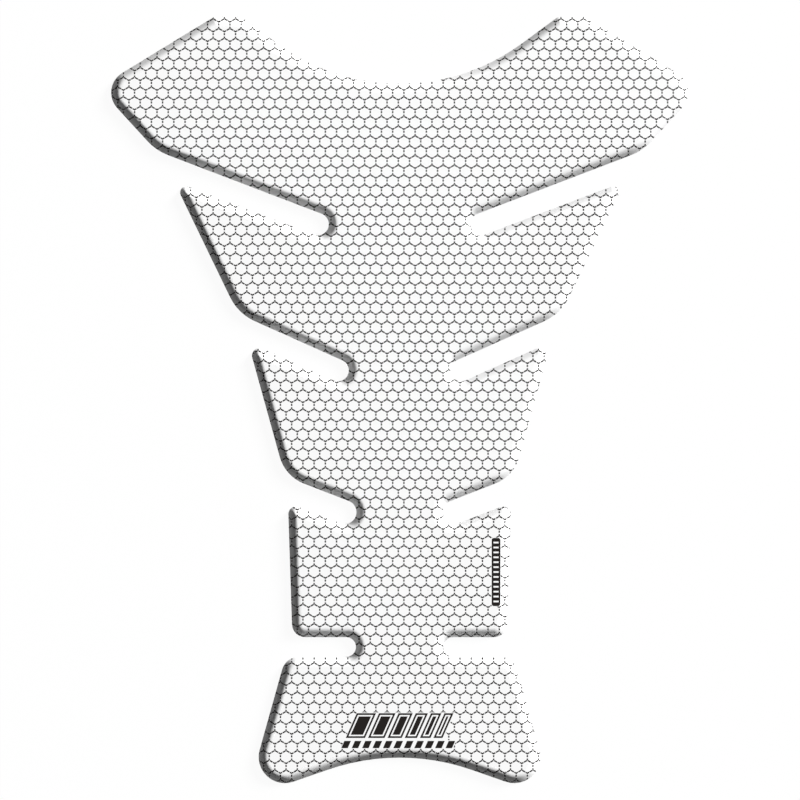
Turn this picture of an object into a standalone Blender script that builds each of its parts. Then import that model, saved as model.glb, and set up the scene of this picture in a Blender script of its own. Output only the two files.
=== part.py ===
"""Motorcycle tank pad: one moulded pad with a domed edge and a flat adhesive back.

The outline is drawn for the right half only, as sharp corners with a fillet radius each, and the
other half is a mirror of it. The dome is that outline, set in and raised step by step. The pad
lies on its back at z = 0, with its notched end towards +Y. All sizes are in metres.
"""

import math
from typing import NamedTuple

import bmesh
import bpy
from mathutils import Matrix, Vector

# Section
PAD_THICKNESS = 0.0030
EDGE_LAND = 0.00015
DOME_WIDTH = 0.0028

# Heights along the centre line, each measured from the one below
FOOT_HEIGHT = 0.0415
BLOCK_HEIGHT = 0.0370
LOWER_FIN_HEIGHT = 0.0389
UPPER_FIN_HEIGHT = 0.0401
SHOULDER_HEIGHT = 0.0569

# Notch between the shoulders
NOTCH_WIDTH = 0.0870
NOTCH_SIDE_ANGLE = math.radians(36.4)
NOTCH_RADIUS = 0.0565
NOTCH_RIM_RADIUS = 0.0020

# Shoulders
SHOULDER_TOP_WIDTH = 0.1018
SHOULDER_TOP_RADIUS = 0.0030
SHOULDER_WIDTH = 0.1653
SHOULDER_DROP = 0.0194
SHOULDER_RADIUS = 0.0063
SHOULDER_HEEL_WIDTH = 0.1336
SHOULDER_HEEL_RADIUS = 0.0150

# Upper fins
UPPER_FIN_WIDTH = 0.1238
UPPER_FIN_TIP_RADIUS = 0.0017
UPPER_FIN_HEEL_WIDTH = 0.0886
UPPER_FIN_HEEL_RADIUS = 0.0137

# Lower fins
LOWER_FIN_WIDTH = 0.0832
LOWER_FIN_TIP_RADIUS = 0.0021
LOWER_FIN_HEEL_WIDTH = 0.0628
LOWER_FIN_HEEL_RADIUS = 0.0110

# Block
BLOCK_TOP_WIDTH = 0.0612
BLOCK_TOP_RADIUS = 0.0021
BLOCK_BOTTOM_WIDTH = 0.0588
BLOCK_BOTTOM_RADIUS = 0.0036

# Foot
FOOT_TOP_WIDTH = 0.0625
FOOT_TOP_RADIUS = 0.0048
FOOT_BOTTOM_WIDTH = 0.0842
FOOT_LOBE_RADIUS = 0.0072
ARCH_SIDE_ANGLE = math.radians(19.2)
ARCH_RADIUS = 0.0600

# Slots, from the shoulders down: the spine left between a pair, the slot's width and its rise
SHOULDER_SLOT_SPINE = 0.0388
SHOULDER_SLOT_WIDTH = 0.0061
SHOULDER_SLOT_RISE = math.radians(20.9)
FIN_SLOT_SPINE = 0.0278
FIN_SLOT_WIDTH = 0.0060
FIN_SLOT_RISE = math.radians(24.1)
BLOCK_SLOT_SPINE = 0.0236
BLOCK_SLOT_WIDTH = 0.0065
BLOCK_SLOT_RISE = math.radians(21.2)
FOOT_SLOT_SPINE = 0.0239
FOOT_SLOT_WIDTH = 0.0054
FOOT_SLOT_RISE = math.radians(0.0)

# Fineness of the curves
CHORD_TOLERANCE = 0.00003
LARGEST_STEP = math.radians(15.0)
DOME_STEPS = 8
SHARPEST_INNER_RADIUS = 0.0002

MERGE_DISTANCE = 0.000001
SMOOTH_ANGLE = math.radians(35.0)


class Corner(NamedTuple):
    """A sharp corner of the outline and the radius that rounds it."""

    place: Vector
    radius: float


class Fillet(NamedTuple):
    """A rounded corner: where it was sharp, its normals, its signed radius and its steps."""

    place: Vector
    normal: Vector
    mitre: Vector
    turn: float
    radius: float
    steps: int


class Slot:
    """A slot with a full-round end, running outward from the spine."""

    def __init__(self, spine, width, rise, height):
        self.width = width
        self.along = Vector((math.cos(rise), math.sin(rise)))
        self.across = Vector((-math.sin(rise), math.cos(rise)))
        self.centre = Vector((spine / 2 + width / 2, height))

    def edge(self, x, side):
        """The point of the upper edge (side 1) or lower edge (side -1) at x."""
        start = self.centre + self.across * (side * self.width / 2)
        return start + self.along * ((x - start.x) / self.along.x)

    def end_corners(self):
        """The square end, upper corner first, which the half-width radius makes round."""
        end = self.centre - self.along * (self.width / 2)
        reach = self.across * (self.width / 2)
        return [Corner(end + reach, self.width / 2), Corner(end - reach, self.width / 2)]


def slots_and_top():
    """The four slots of the right half, from the shoulders down, and the height of the top edge."""
    foot = FOOT_HEIGHT
    block = foot + BLOCK_HEIGHT
    fin = block + LOWER_FIN_HEIGHT
    shoulder = fin + UPPER_FIN_HEIGHT
    slots = [
        Slot(SHOULDER_SLOT_SPINE, SHOULDER_SLOT_WIDTH, SHOULDER_SLOT_RISE, shoulder),
        Slot(FIN_SLOT_SPINE, FIN_SLOT_WIDTH, FIN_SLOT_RISE, fin),
        Slot(BLOCK_SLOT_SPINE, BLOCK_SLOT_WIDTH, BLOCK_SLOT_RISE, block),
        Slot(FOOT_SLOT_SPINE, FOOT_SLOT_WIDTH, FOOT_SLOT_RISE, foot),
    ]
    return slots, shoulder + SHOULDER_HEIGHT


def shoulder_corners(top, slot):
    """From the notch's middle over the shoulder to the slot below it."""
    rim = Vector((NOTCH_WIDTH / 2, top))
    middle = Vector((0.0, top - rim.x * math.tan(NOTCH_SIDE_ANGLE)))
    return [
        Corner(middle, NOTCH_RADIUS),
        Corner(rim, NOTCH_RIM_RADIUS),
        Corner(Vector((SHOULDER_TOP_WIDTH / 2, top)), SHOULDER_TOP_RADIUS),
        Corner(Vector((SHOULDER_WIDTH / 2, top - SHOULDER_DROP)), SHOULDER_RADIUS),
        Corner(slot.edge(SHOULDER_HEEL_WIDTH / 2, 1), SHOULDER_HEEL_RADIUS),
    ]


def fin_corners(above, below, top_width, top_radius, bottom_width, bottom_radius):
    """The outer side of a fin or the block, between the slots above and below it."""
    return [
        Corner(above.edge(top_width / 2, -1), top_radius),
        Corner(below.edge(bottom_width / 2, 1), bottom_radius),
    ]


def foot_corners(slot):
    """The flared foot, from the slot above it round to the middle of its arch."""
    lobe = Vector((FOOT_BOTTOM_WIDTH / 2, 0.0))
    middle = Vector((0.0, lobe.x * math.tan(ARCH_SIDE_ANGLE)))
    return [
        Corner(slot.edge(FOOT_TOP_WIDTH / 2, -1), FOOT_TOP_RADIUS),
        Corner(lobe, FOOT_LOBE_RADIUS),
        Corner(middle, ARCH_RADIUS),
    ]


def right_half():
    """The corners of the right half, clockwise from the notch's middle to the arch's middle."""
    (shoulder, fin, block, foot), top = slots_and_top()
    upper_fin = fin_corners(
        shoulder, fin, UPPER_FIN_WIDTH, UPPER_FIN_TIP_RADIUS, UPPER_FIN_HEEL_WIDTH, UPPER_FIN_HEEL_RADIUS
    )
    lower_fin = fin_corners(
        fin, block, LOWER_FIN_WIDTH, LOWER_FIN_TIP_RADIUS, LOWER_FIN_HEEL_WIDTH, LOWER_FIN_HEEL_RADIUS
    )
    square = fin_corners(
        block, foot, BLOCK_TOP_WIDTH, BLOCK_TOP_RADIUS, BLOCK_BOTTOM_WIDTH, BLOCK_BOTTOM_RADIUS
    )
    return (
        shoulder_corners(top, shoulder)
        + shoulder.end_corners()
        + upper_fin
        + fin.end_corners()
        + lower_fin
        + block.end_corners()
        + square
        + foot.end_corners()
        + foot_corners(foot)
    )


def mirrored(place):
    return Vector((-place.x, place.y))


def steps_for(radius, turn):
    """An even number of straight steps that stay within the tolerance of the arc."""
    step = min(LARGEST_STEP, 2 * math.acos(1 - min(1.0, CHORD_TOLERANCE / radius)))
    return 2 * math.ceil(abs(turn) / step / 2)


def fillets(corners):
    """The rounded corners, each radius limited so that neighbours leave each other room."""
    places = [corner.place for corner in corners]
    places = [mirrored(places[1])] + places + [mirrored(places[-2])]
    sides = [(b - a).normalized() for a, b in zip(places, places[1:])]
    turns = [b.angle_signed(a) for a, b in zip(sides, sides[1:])]
    reaches = [c.radius * math.tan(abs(t) / 2) for c, t in zip(corners, turns)]
    reaches = [reaches[1]] + reaches + [reaches[-2]]
    lengths = [(b - a).length for a, b in zip(places, places[1:])]
    room = [min(1.0, s / (a + b)) for s, a, b in zip(lengths, reaches, reaches[1:])]
    found = []
    for index, (corner, turn) in enumerate(zip(corners, turns)):
        normal = Vector((sides[index].y, -sides[index].x))
        following = Vector((sides[index + 1].y, -sides[index + 1].x))
        mitre = (normal + following) / (1 + normal.dot(following))
        radius = corner.radius * min(room[index], room[index + 1])
        steps = steps_for(radius, turn)
        found.append(Fillet(corner.place, normal, mitre, turn, math.copysign(radius, -turn), steps))
    return found


def fillet_points(fillet, inset):
    """The fillet's points once the outline is set in by this much."""
    radius = fillet.radius - inset
    if fillet.radius > 0:
        radius = max(radius, SHARPEST_INNER_RADIUS)
    centre = fillet.place + fillet.mitre * (inset + radius)
    turned = [Matrix.Rotation(fillet.turn * k / fillet.steps, 2) for k in range(fillet.steps + 1)]
    return [centre - radius * (rotation @ fillet.normal) for rotation in turned]


def half_ring(rounded, inset):
    """The right half of the outline, set in, from the centre line back to the centre line."""
    runs = [fillet_points(fillet, inset) for fillet in rounded]
    runs[0] = runs[0][rounded[0].steps // 2 :]
    runs[-1] = runs[-1][: rounded[-1].steps // 2 + 1]
    points = [point for run in runs for point in run]
    points[0].x = 0.0
    points[-1].x = 0.0
    return points


def edge_profile():
    """(inset, height) up the edge: a low upright land, then the dome, steepest there and level at the top."""
    profile = [(0.0, 0.0)]
    for k in range(DOME_STEPS + 1):
        share = k / DOME_STEPS
        rise = share + math.sin(math.pi * share) / math.pi
        profile.append((DOME_WIDTH * share, EDGE_LAND + (PAD_THICKNESS - EDGE_LAND) * rise))
    return profile


def half_pad():
    """Mesh of the right half, open at the centre line."""
    rounded = fillets(right_half())
    profile = edge_profile()
    outer = half_ring(rounded, 0.0)
    middle = (max(p.y for p in outer) + min(p.y for p in outer)) / 2
    mesh = bmesh.new()
    rings = []
    for inset, height in profile:
        points = half_ring(rounded, inset)
        rings.append([mesh.verts.new((p.x, p.y - middle, height)) for p in points])
    for low, high in zip(rings, rings[1:]):
        for a, b, c, d in zip(low, low[1:], high[1:], high):
            mesh.faces.new((b, a, d, c))
    mesh.faces.new(rings[0])
    mesh.faces.new(reversed(rings[-1]))
    bmesh.ops.remove_doubles(mesh, verts=mesh.verts, dist=MERGE_DISTANCE)
    return mesh


def pad_material():
    """Glossy white resin."""
    material = bpy.data.materials.new("white_resin")
    material.use_nodes = True
    shader = material.node_tree.nodes["Principled BSDF"]
    shader.inputs["Base Color"].default_value = (0.86, 0.86, 0.86, 1.0)
    shader.inputs["Roughness"].default_value = 0.25
    shader.inputs["Metallic"].default_value = 0.0
    return material


def add_tank_pad(collection):
    half = half_pad()
    mesh = bpy.data.meshes.new("tank_pad")
    half.to_mesh(mesh)
    half.free()
    mesh.materials.append(pad_material())
    mesh.shade_smooth()
    mesh.set_sharp_from_angle(angle=SMOOTH_ANGLE)
    pad = bpy.data.objects.new("tank_pad", mesh)
    collection.objects.link(pad)
    mirror = pad.modifiers.new("Mirror", "MIRROR")
    mirror.merge_threshold = MERGE_DISTANCE
    return pad


def main():
    for obj in list(bpy.data.objects):
        bpy.data.objects.remove(obj)
    collection = bpy.data.collections.new("motorcycle_tank_pad")
    bpy.context.scene.collection.children.link(collection)
    add_tank_pad(collection)


main()
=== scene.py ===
import math

import bmesh
import bpy
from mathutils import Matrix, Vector
from mathutils.bvhtree import BVHTree
from mathutils.geometry import delaunay_2d_cdt


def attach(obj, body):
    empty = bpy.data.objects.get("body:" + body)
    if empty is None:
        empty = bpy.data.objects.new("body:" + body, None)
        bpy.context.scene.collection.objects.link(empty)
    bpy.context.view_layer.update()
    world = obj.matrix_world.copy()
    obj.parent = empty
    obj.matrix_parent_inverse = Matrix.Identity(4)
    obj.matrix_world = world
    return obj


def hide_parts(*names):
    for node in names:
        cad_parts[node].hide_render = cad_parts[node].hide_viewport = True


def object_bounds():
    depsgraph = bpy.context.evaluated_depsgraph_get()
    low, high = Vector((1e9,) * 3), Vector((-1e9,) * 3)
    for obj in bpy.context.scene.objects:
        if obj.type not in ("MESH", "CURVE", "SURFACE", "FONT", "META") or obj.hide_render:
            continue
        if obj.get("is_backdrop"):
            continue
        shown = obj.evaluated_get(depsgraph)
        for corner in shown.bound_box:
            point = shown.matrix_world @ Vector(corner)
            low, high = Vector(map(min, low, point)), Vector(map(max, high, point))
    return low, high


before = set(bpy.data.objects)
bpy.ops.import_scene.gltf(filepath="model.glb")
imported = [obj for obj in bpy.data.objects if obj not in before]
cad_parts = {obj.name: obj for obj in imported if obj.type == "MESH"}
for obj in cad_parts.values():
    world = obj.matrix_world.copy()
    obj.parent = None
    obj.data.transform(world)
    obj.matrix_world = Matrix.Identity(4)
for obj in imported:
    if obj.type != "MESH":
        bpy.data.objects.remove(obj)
cad_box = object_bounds()

# Every size is in metres and every colour is linear
MILLIMETRE = 0.001

# The photograph is square and looks straight down on the pad, from far away
PHOTO_SIDE = 800
METRES_A_PIXEL = 0.00027433
PAD_CENTRE_PIXEL = (399.5, 400.0)
SENSOR_WIDTH = 0.036
LENS = 1.200

# Honeycomb lines run between forks, where two slanting lines meet on top of an upright one, and the
# feet of the uprights. Each row of forks is moved half a pitch along.
HEXAGON_PITCH = 0.0030780
ROW_PITCH = 0.0026762
FORK = Vector((-0.000332, 0.002000))
UPRIGHT_LENGTH = 0.001786
LINE_WIDTH = 0.00039

# The lines are broken into dashes, given as shares of an upright from its fork, and of a slant from
# its foot. The fork's arm is a share of the slant too.
UPRIGHT_DASHES = ((0.21, 0.54), (0.73, 1.0))
SLANT_DASH = (0.07, 0.595)
FORK_ARM = 0.32

# The emblem in the foot is a row of slanting bars that get thinner, over a strip of short ticks
EMBLEM_LEFT = -0.01600
EMBLEM_TOP = -0.0859
EMBLEM_HEIGHT = 0.0096
EMBLEM_SLANT = math.radians(24)
BAR_HEIGHT = 0.0068
WIDEST_BAR = 0.0053
BAR_SHRINK = 0.86
BAR_COUNT = 6
BAR_GAP = 0.0008
INLINE_INSET = 0.00050
INLINE_WIDTH = 0.00038
TICK_HEIGHT = 0.0020
TICK_WIDTH = 0.0018
TICK_PITCH = 0.00286
TICK_COUNT = 11

# Bare ground round the emblem, and half of it round the label
CLEARANCE = 0.0002

# The label beside the block's right edge is a slim black plate with white ticks
PLATE_CENTRE = Vector((0.02648, -0.04718))
PLATE_WIDTH = 0.0024
PLATE_HEIGHT = 0.0187
PLATE_CORNER = 0.0006
PLATE_CORNER_STEPS = 3
PLATE_TICK_WIDTH = 0.0014
PLATE_TICK_HEIGHT = 0.00045
PLATE_TICK_COUNT = 13

# How near counts as the same place, as level with the top and as upright
WELD = 1e-7
LEVEL = 1e-6
UPRIGHT_NORMAL = 0.01

# The print is cut in millimetres, and points this near become one
CUTTING_NEARNESS = 1e-4

UP = Vector((0.0, 0.0, 1.0))

# Places of the materials on the pad
BODY, INK, FILM, BACK = range(4)

WHITE_RESIN = (0.93, 0.93, 0.93, 1.0)
BLACK_INK = (0.010, 0.008, 0.007, 1.0)
VINYL_FILM = (0.88, 0.88, 0.87, 1.0)
ADHESIVE = (0.80, 0.80, 0.77, 1.0)
RESIN_IOR = 1.5
INK_SHINE = 0.10

# Lowest and highest roughness of each material, and the scale and detail of the noise between them
RESIN_ROUGHNESS = (0.10, 0.18)
RESIN_PATCHES = (45.0, 3.0)
INK_ROUGHNESS = (0.45, 0.60)
INK_PATCHES = (700.0, 3.0)
FILM_ROUGHNESS = (0.35, 0.55)
FILM_PATCHES = (900.0, 2.0)
ADHESIVE_ROUGHNESS = (0.38, 0.62)
ADHESIVE_PATCHES = (120.0, 4.0)

# Levels of the noise that give the lowest and the highest roughness
NOISE_LEVELS = (0.3, 0.7)

# Scale and detail of the noise that raises each surface, and how far
RESIN_WAVES = (160.0, 2.0)
WAVE_DEPTH = 0.000012
FILM_GRAIN = (2500.0, 2.0)
GRAIN_DEPTH = 0.000008
ADHESIVE_PEBBLES = (1200.0, 3.0)
PEBBLE_DEPTH = 0.00002

KEY_AZIMUTH = math.radians(30.9)
KEY_ELEVATION = math.radians(26.8)
KEY_DISTANCE = 10.0
KEY_SIZE = (2.4, 3.0)

# Shares of the light that shows a colour as it is written, from the lamp, all round and from below
KEY_SHARE = 1.01
FILL = 0.045
UNDER_SHARE = 0.75

# The floor's colour where it is seen and where it would light the pad, and the share of it that glows
FLOOR_SIZE = 30.0
FLOOR_SEEN = (0.95, 0.95, 0.95, 1.0)
FLOOR_UNSEEN = (0.02, 0.02, 0.02, 1.0)
FLOOR_GLOW = 0.95
FLOOR_GAP = 0.00005


# Print

def bar(start, end, width):
    """A straight stroke of ink."""
    side = (end - start).normalized().orthogonal() * width / 2
    return [start - side, end - side, end + side, start + side]


def chevron(fork, arm):
    """Two strokes that meet on a fork, each as long as arm, which points up and to the right."""
    across = arm.normalized().orthogonal() * LINE_WIDTH / 2
    mitre = Vector((0.0, across.length * arm.length / arm.x))
    right = [fork + arm - across, fork + arm + across]
    left = [Vector((2 * fork.x - corner.x, corner.y)) for corner in reversed(right)]
    return [fork - mitre, *right, fork + mitre, *left]


def honeycomb():
    """The dashes around every fork near the pad."""
    slant = Vector((HEXAGON_PITCH / 2, UPRIGHT_LENGTH - ROW_PITCH))
    arm = Vector((slant.x, -slant.y)) * FORK_ARM
    upright = Vector((0.0, -UPRIGHT_LENGTH))
    for fork in forks():
        yield chevron(fork, arm)
        for start, end in UPRIGHT_DASHES:
            yield bar(fork + upright * start, fork + upright * end, LINE_WIDTH)
        foot = fork + upright
        for way in (slant, Vector((-slant.x, slant.y))):
            yield bar(foot + way * SLANT_DASH[0], foot + way * SLANT_DASH[1], LINE_WIDTH)


def forks():
    """Every fork over the pad's box and a little past it."""
    low, high = cad_box
    bottom_row, top_row = ((edge.y - FORK.y) / ROW_PITCH for edge in (low, high))
    for row in range(math.floor(bottom_row) - 1, math.ceil(top_row) + 2):
        start = FORK.x + row % 2 * HEXAGON_PITCH / 2
        first, last = ((edge.x - start) / HEXAGON_PITCH for edge in (low, high))
        for column in range(math.floor(first) - 1, math.ceil(last) + 2):
            yield Vector((start + column * HEXAGON_PITCH, FORK.y + row * ROW_PITCH))


def slanting_bar(left, top, width, height, inset=0.0):
    """A bar that leans to the right, smaller by inset all round. Left is its lower left corner's x."""
    lean = math.tan(EMBLEM_SLANT)
    sideways = inset / math.cos(EMBLEM_SLANT)
    low, high = top - height + inset, top - inset
    near, far = left + sideways, left + width - sideways
    corners = (near, low), (far, low), (far, high), (near, high)
    return [Vector((x + lean * (y - top + height), y)) for x, y in corners]


def ground(left, top, width, height):
    """The bare ground round a slanting bar."""
    return slanting_bar(left - CLEARANCE, top + CLEARANCE, width + 2 * CLEARANCE, height + 2 * CLEARANCE)


def emblem():
    """Colour and outline of each shape of the emblem, from the lowest layer up."""
    widths = [WIDEST_BAR * BAR_SHRINK ** i for i in range(BAR_COUNT)]
    row_length = sum(widths) + BAR_GAP * (BAR_COUNT - 1)
    yield BODY, ground(EMBLEM_LEFT, EMBLEM_TOP, row_length, EMBLEM_HEIGHT)
    left = EMBLEM_LEFT + (EMBLEM_HEIGHT - BAR_HEIGHT) * math.tan(EMBLEM_SLANT)
    for width in widths:
        yield INK, slanting_bar(left, EMBLEM_TOP, width, BAR_HEIGHT)
        yield BODY, slanting_bar(left, EMBLEM_TOP, width, BAR_HEIGHT, INLINE_INSET)
        yield INK, slanting_bar(left, EMBLEM_TOP, width, BAR_HEIGHT, INLINE_INSET + INLINE_WIDTH)
        left += width + BAR_GAP
    strip_top = EMBLEM_TOP - EMBLEM_HEIGHT + TICK_HEIGHT
    strip_length = TICK_PITCH * (TICK_COUNT - 1) + TICK_WIDTH
    yield BODY, ground(EMBLEM_LEFT, strip_top, strip_length, TICK_HEIGHT)
    for i in range(TICK_COUNT):
        yield INK, slanting_bar(EMBLEM_LEFT + i * TICK_PITCH, strip_top, TICK_WIDTH, TICK_HEIGHT)


def plate(width, height):
    """The outline of a plate in the label's place, with round corners."""
    corners = []
    for quarter in range(4):
        turn = quarter * math.pi / 2
        middle = Vector((width / 2 - PLATE_CORNER, height / 2 - PLATE_CORNER))
        if quarter in (1, 2):
            middle.x = -middle.x
        if quarter in (2, 3):
            middle.y = -middle.y
        for step in range(PLATE_CORNER_STEPS + 1):
            angle = turn + step / PLATE_CORNER_STEPS * math.pi / 2
            outward = Vector((math.cos(angle), math.sin(angle)))
            corners.append(PLATE_CENTRE + middle + PLATE_CORNER * outward)
    return corners


def label():
    """Colour and outline of each shape of the label, from the lowest layer up."""
    yield BODY, plate(PLATE_WIDTH + CLEARANCE, PLATE_HEIGHT + CLEARANCE)
    yield INK, plate(PLATE_WIDTH, PLATE_HEIGHT)
    pitch = (PLATE_HEIGHT - 2 * PLATE_CORNER) / PLATE_TICK_COUNT
    for i in range(PLATE_TICK_COUNT):
        middle = PLATE_CENTRE + Vector((0.0, (i - (PLATE_TICK_COUNT - 1) / 2) * pitch))
        half = Vector((PLATE_TICK_WIDTH / 2, 0.0))
        yield BODY, bar(middle - half, middle + half, PLATE_TICK_HEIGHT)


# Pad

def welded(node):
    """The node's mesh with its corners joined, as a bmesh."""
    mesh = bmesh.new()
    mesh.from_mesh(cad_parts[node].data)
    bmesh.ops.remove_doubles(mesh, verts=mesh.verts, dist=WELD)
    mesh.normal_update()
    return mesh


def slope_normals(slope, crest):
    """The smooth normal of each corner of the sloped faces: up on the crest, and else the faces' mean."""
    normals = {}
    for face in slope:
        for corner in face.verts:
            normals.setdefault(corner, Vector())
            normals[corner] += face.normal * face.calc_area()
    for corner in crest:
        normals[corner] = UP
    return {corner: normal.normalized() for corner, normal in normals.items()}


def loop_of(edges):
    """The corners of a closed chain of edges, in order."""
    first = edges[0].verts[0]
    chain, waiting = [first], set(edges)
    while waiting:
        edge = next(e for e in chain[-1].link_edges if e in waiting)
        waiting.discard(edge)
        chain.append(edge.other_vert(chain[-1]))
    return chain[:-1]


def anticlockwise(points):
    """Whether a closed outline runs anticlockwise."""
    area = sum(a.cross(b) for a, b in zip(points, points[1:] + points[:1]))
    return area > 0


def shapes_over(pad):
    """Colour and outline of each printed shape that reaches over the pad, from the lowest layer up."""
    shapes = [(INK, outline) for outline in honeycomb()]
    shapes += [*emblem(), *label()]
    tree = BVHTree.FromBMesh(pad)
    return [(colour, outline) for colour, outline in shapes
            if any(tree.ray_cast(corner.to_3d() + UP, -UP)[0] for corner in outline)]


def cut_plan(slope, crest, normals, shapes):
    """Points, triangles and their sources, for the plan of the slope and the top cut along the shapes.

    Sources are numbers: the sloped faces come first, then the top, then the shapes."""
    index = {corner: i for i, corner in enumerate(normals)}
    points = [corner.co.xy / MILLIMETRE for corner in normals]
    faces = [[index[corner] for corner in face.verts] for face in slope]
    ring = crest if anticlockwise([corner.co.xy for corner in crest]) else crest[::-1]
    faces.append([index[corner] for corner in ring])
    for _, outline in shapes:
        faces.append(list(range(len(points), len(points) + len(outline))))
        points += [corner / MILLIMETRE for corner in outline]
    flat, _, triangles, _, _, sources = delaunay_2d_cdt(points, [], faces, 1, CUTTING_NEARNESS)
    return flat, triangles, sources


def print_on_pad(node, name, materials):
    """The node's own form with the print cut into its upper faces, as one closed mesh."""
    pad = welded(node)
    top_height = cad_box[1].z
    top = {face for face in pad.faces if all(corner.co.z > top_height - LEVEL for corner in face.verts)}
    slope = [face for face in pad.faces if face not in top and face.normal.z > UPRIGHT_NORMAL]
    crest = loop_of([edge for edge in pad.edges if sum(face in top for face in edge.link_faces) == 1])
    normals = slope_normals(slope, crest)

    shapes = shapes_over(pad)
    flat, triangles, sources = cut_plan(slope, crest, normals, shapes)
    the_top = len(slope)
    first_shape = the_top + 1
    heights = [None] * len(flat)
    leans = [None] * len(flat)
    kept, colours = [], []
    for triangle, came_from in zip(triangles, sources):
        under = min(came_from, default=first_shape)
        if under >= first_shape:
            continue
        kept.append(triangle)
        on_top = max(came_from)
        colours.append(shapes[on_top - first_shape][0] if on_top >= first_shape else BODY)
        for i in triangle:
            if heights[i] is not None:
                continue
            if under == the_top:
                heights[i], leans[i] = top_height, UP
            else:
                height, leans[i] = on_slope(flat[i] * MILLIMETRE, slope[under], normals)
                heights[i] = min(height, top_height)
    return closed_mesh(name, materials, flat, heights, leans, kept, colours)


def on_slope(point, face, normals):
    """Height and normal of the sloped face over a point of the plan."""
    a, b, c = (corner.co.xy for corner in face.verts)
    whole = (b - a).cross(c - a)
    shares = (b - point).cross(c - point), (c - point).cross(a - point), (a - point).cross(b - point)
    height, normal = 0.0, Vector()
    for share, corner in zip(shares, face.verts):
        height += share / whole * corner.co.z
        normal += share / whole * normals[corner]
    return height, normal.normalized()


def closed_mesh(name, materials, flat, heights, leans, upper, colours):
    """The upper faces, the upright edge of the film below them and the flat back."""
    used = sorted({i for triangle in upper for i in triangle})
    place = {old: new for new, old in enumerate(used)}
    points = [(flat[i] * MILLIMETRE).to_3d() + heights[i] * UP for i in used]
    normals = [leans[i] for i in used]
    faces = [[place[i] for i in triangle] for triangle in upper]
    slots = list(colours)

    sides = {(a, b) for face in faces for a, b in zip(face, face[1:] + face[:1])}
    following = {a: b for a, b in sides if (b, a) not in sides}
    rim = [next(iter(following))]
    while following[rim[-1]] != rim[0]:
        rim.append(following[rim[-1]])
    base = range(len(points), len(points) + len(rim))
    points += [points[i].xy.to_3d() for i in rim]

    loops = [normals[i] for face in faces for i in face]
    outward = [normals[i].xy.normalized().to_3d() for i in rim]
    for i in range(len(rim)):
        j = (i + 1) % len(rim)
        faces.append([rim[j], rim[i], base[i], base[j]])
        loops += [outward[j], outward[i], outward[i], outward[j]]
        slots.append(FILM)
    faces.append(list(reversed(base)))
    loops += [-UP] * len(rim)
    slots.append(BACK)

    mesh = bpy.data.meshes.new(name)
    mesh.from_pydata(points, [], faces)
    for material in materials:
        mesh.materials.append(material)
    mesh.polygons.foreach_set("material_index", slots)
    mesh.polygons.foreach_set("use_smooth", [True] * len(faces))
    mesh.normals_split_custom_set(loops)
    pad = bpy.data.objects.new(name, mesh)
    bpy.context.scene.collection.objects.link(pad)
    return pad


# Materials

def noise(tree, scale, detail):
    coordinates = tree.nodes.new("ShaderNodeTexCoord")
    texture = tree.nodes.new("ShaderNodeTexNoise")
    texture.inputs["Scale"].default_value = scale
    texture.inputs["Detail"].default_value = detail
    tree.links.new(coordinates.outputs["Object"], texture.inputs["Vector"])
    return texture.outputs["Fac"]


def varied(tree, value, low, high, socket):
    """A value that wanders between low and high with the noise."""
    spread = tree.nodes.new("ShaderNodeMapRange")
    spread.inputs["From Min"].default_value = NOISE_LEVELS[0]
    spread.inputs["From Max"].default_value = NOISE_LEVELS[1]
    spread.inputs["To Min"].default_value = low
    spread.inputs["To Max"].default_value = high
    tree.links.new(value, spread.inputs["Value"])
    tree.links.new(spread.outputs["Result"], socket)


def bumped(tree, height, depth, socket):
    bump = tree.nodes.new("ShaderNodeBump")
    bump.inputs["Distance"].default_value = depth
    tree.links.new(height, bump.inputs["Height"])
    tree.links.new(bump.outputs["Normal"], socket)


def textured(name, colour, roughness, patches, relief, depth):
    """A material of one colour, whose roughness wanders with one noise and which another noise raises."""
    material = bpy.data.materials.new(name)
    material.use_nodes = True
    material.diffuse_color = colour
    tree = material.node_tree
    sockets = tree.nodes["Principled BSDF"].inputs
    sockets["Base Color"].default_value = colour
    varied(tree, noise(tree, *patches), *roughness, sockets["Roughness"])
    bumped(tree, noise(tree, *relief), depth, sockets["Normal"])
    return material, sockets


def domed_resin():
    """Glossy cast resin, with the faint waves of a surface that levelled itself."""
    material, sockets = textured(
        "white_resin", WHITE_RESIN, RESIN_ROUGHNESS, RESIN_PATCHES, RESIN_WAVES, WAVE_DEPTH)
    sockets["IOR"].default_value = RESIN_IOR
    return material


def satin_ink():
    """Black ink that follows the resin's waves, satin and faintly grained."""
    material, sockets = textured(
        "black_print", BLACK_INK, INK_ROUGHNESS, INK_PATCHES, RESIN_WAVES, WAVE_DEPTH)
    sockets["Specular IOR Level"].default_value = INK_SHINE
    return material


def film_edge():
    """The die-cut edge of the printed film."""
    return textured("film_edge", VINYL_FILM, FILM_ROUGHNESS, FILM_PATCHES, FILM_GRAIN, GRAIN_DEPTH)[0]


def adhesive_back():
    """Pressure-sensitive adhesive, dull and faintly pebbled."""
    return textured("adhesive_back", ADHESIVE, ADHESIVE_ROUGHNESS, ADHESIVE_PATCHES,
                    ADHESIVE_PEBBLES, PEBBLE_DEPTH)[0]


# Stage

def mixed(tree, share, first, second):
    """A mix of two shaders, with share a number or a socket that gives the second one's part."""
    mix = tree.nodes.new("ShaderNodeMixShader")
    if isinstance(share, float):
        mix.inputs["Fac"].default_value = share
    else:
        tree.links.new(share, mix.inputs["Fac"])
    tree.links.new(first, mix.inputs[1])
    tree.links.new(second, mix.inputs[2])
    return mix.outputs["Shader"]


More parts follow.
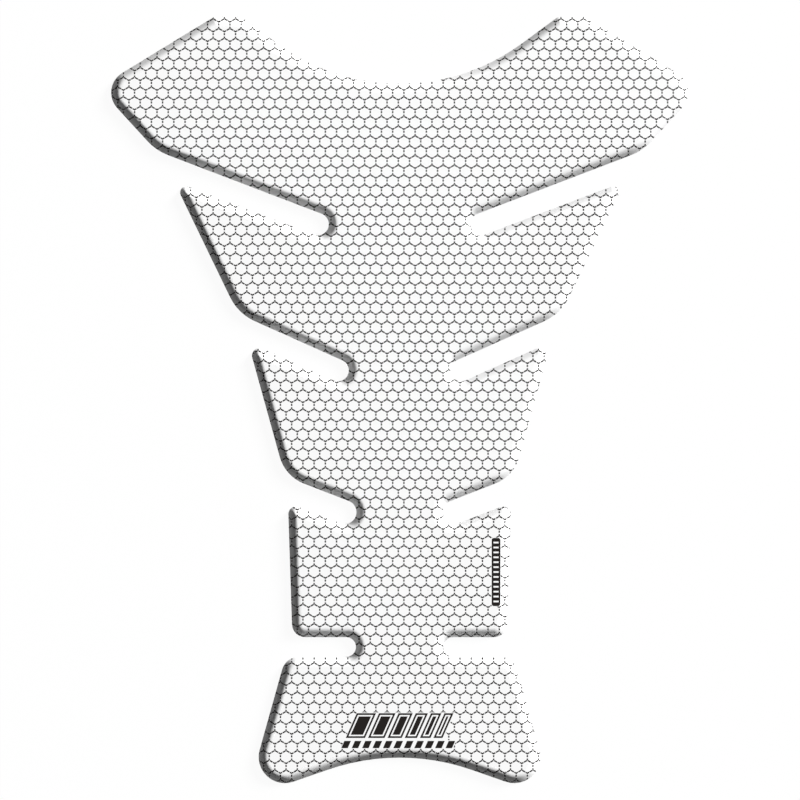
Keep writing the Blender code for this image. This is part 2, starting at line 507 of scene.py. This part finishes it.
def seen(tree):
    """1 for what is seen directly, mirrored or through glass, and 0 for the light on the pad."""
    path = tree.nodes.new("ShaderNodeLightPath")
    value = path.outputs["Is Camera Ray"]
    for ray in ("Is Glossy Ray", "Is Transmission Ray"):
        either = tree.nodes.new("ShaderNodeMath")
        either.operation = "MAXIMUM"
        tree.links.new(value, either.inputs[0])
        tree.links.new(path.outputs[ray], either.inputs[1])
        value = either.outputs["Value"]
    return value


def matte(tree, colour):
    diffuse = tree.nodes.new("ShaderNodeBsdfDiffuse")
    diffuse.inputs["Color"].default_value = colour
    return diffuse.outputs["BSDF"]


def white_glow(tree):
    return tree.nodes.new("ShaderNodeEmission").outputs["Emission"]


def add_floor():
    """A floor just under the pad, white with its shadow. It lights nothing and is clear from below."""
    mesh = bpy.data.meshes.new("floor")
    outline = bmesh.new()
    bmesh.ops.create_grid(outline, x_segments=1, y_segments=1, size=FLOOR_SIZE / 2)
    outline.to_mesh(mesh)
    outline.free()
    floor = bpy.data.objects.new("floor", mesh)
    floor.location.z = cad_box[0].z - FLOOR_GAP
    floor.visible_shadow = False
    bpy.context.scene.collection.objects.link(floor)
    material = bpy.data.materials.new("floor")
    material.use_nodes = True
    tree = material.node_tree
    tree.nodes.clear()
    output = tree.nodes.new("ShaderNodeOutputMaterial")
    pale = mixed(tree, FLOOR_GLOW, matte(tree, FLOOR_SEEN), white_glow(tree))
    upper = mixed(tree, seen(tree), matte(tree, FLOOR_UNSEEN), pale)
    underside = tree.nodes.new("ShaderNodeNewGeometry").outputs["Backfacing"]
    clear = tree.nodes.new("ShaderNodeBsdfTransparent").outputs["BSDF"]
    tree.links.new(mixed(tree, underside, upper, clear), output.inputs["Surface"])
    mesh.materials.append(material)
    floor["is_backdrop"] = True


def add_world():
    """A white studio that lights the pad faintly from all round."""
    world = bpy.data.worlds.new("studio")
    world.use_nodes = True
    tree = world.node_tree
    background = tree.nodes["Background"]
    background.inputs["Color"].default_value = (1.0, 1.0, 1.0, 1.0)
    background.inputs["Strength"].default_value = FILL
    white = tree.nodes.new("ShaderNodeBackground")
    white.inputs["Color"].default_value = (1.0, 1.0, 1.0, 1.0)
    surface = mixed(tree, seen(tree), background.outputs["Background"], white.outputs["Background"])
    tree.links.new(surface, tree.nodes["World Output"].inputs["Surface"])
    bpy.context.scene.world = world


def add_key_lamp():
    """One large soft lamp, far off and low, so that it lights the pad evenly and rakes its edges."""
    lamp = bpy.data.lights.new("key", "AREA")
    lamp.shape = "RECTANGLE"
    lamp.size, lamp.size_y = KEY_SIZE
    # Watts for the share on the level top, as the lamp's radiance is watts / pi / area
    lamp.energy = KEY_SHARE * math.pi ** 2 * KEY_DISTANCE ** 2 / math.sin(KEY_ELEVATION)
    key = bpy.data.objects.new("key", lamp)
    towards = Vector((math.cos(KEY_AZIMUTH) * math.cos(KEY_ELEVATION),
                      math.sin(KEY_AZIMUTH) * math.cos(KEY_ELEVATION),
                      math.sin(KEY_ELEVATION)))
    key.location = towards * KEY_DISTANCE
    key.rotation_euler = towards.to_track_quat("Z", "Y").to_euler()
    bpy.context.scene.collection.objects.link(key)


def add_under_lamp():
    """A lamp that shines straight up through the floor on the pad's back, for views from below."""
    lamp = bpy.data.lights.new("under", "SUN")
    lamp.energy = UNDER_SHARE * math.pi
    under = bpy.data.objects.new("under", lamp)
    under.rotation_euler.x = math.pi
    bpy.context.scene.collection.objects.link(under)


def add_camera():
    """A long lens straight above the pad, with the photograph's edge where the photograph has it."""
    low, high = cad_box
    view_width = PHOTO_SIDE * METRES_A_PIXEL
    camera = bpy.data.cameras.new("camera")
    camera.lens = LENS / MILLIMETRE
    camera.sensor_width = SENSOR_WIDTH / MILLIMETRE
    camera_object = bpy.data.objects.new("camera", camera)
    across = (PHOTO_SIDE / 2 - PAD_CENTRE_PIXEL[0]) * METRES_A_PIXEL
    along = (PAD_CENTRE_PIXEL[1] - PHOTO_SIDE / 2) * METRES_A_PIXEL
    middle = (low + high) / 2
    camera_object.location = middle + Vector((across, along, view_width * LENS / SENSOR_WIDTH))
    bpy.context.scene.collection.objects.link(camera_object)
    bpy.context.scene.camera = camera_object


add_camera()
add_world()
add_key_lamp()
add_under_lamp()
add_floor()

finishes = [domed_resin(), satin_ink(), film_edge(), adhesive_back()]
printed_pad = print_on_pad("tank_pad", "printed_pad", finishes)
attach(printed_pad, "root")
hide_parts("tank_pad")

bpy.context.scene.view_settings.view_transform = "Standard"

[[list(corner) for corner in box] for box in (cad_box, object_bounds())]
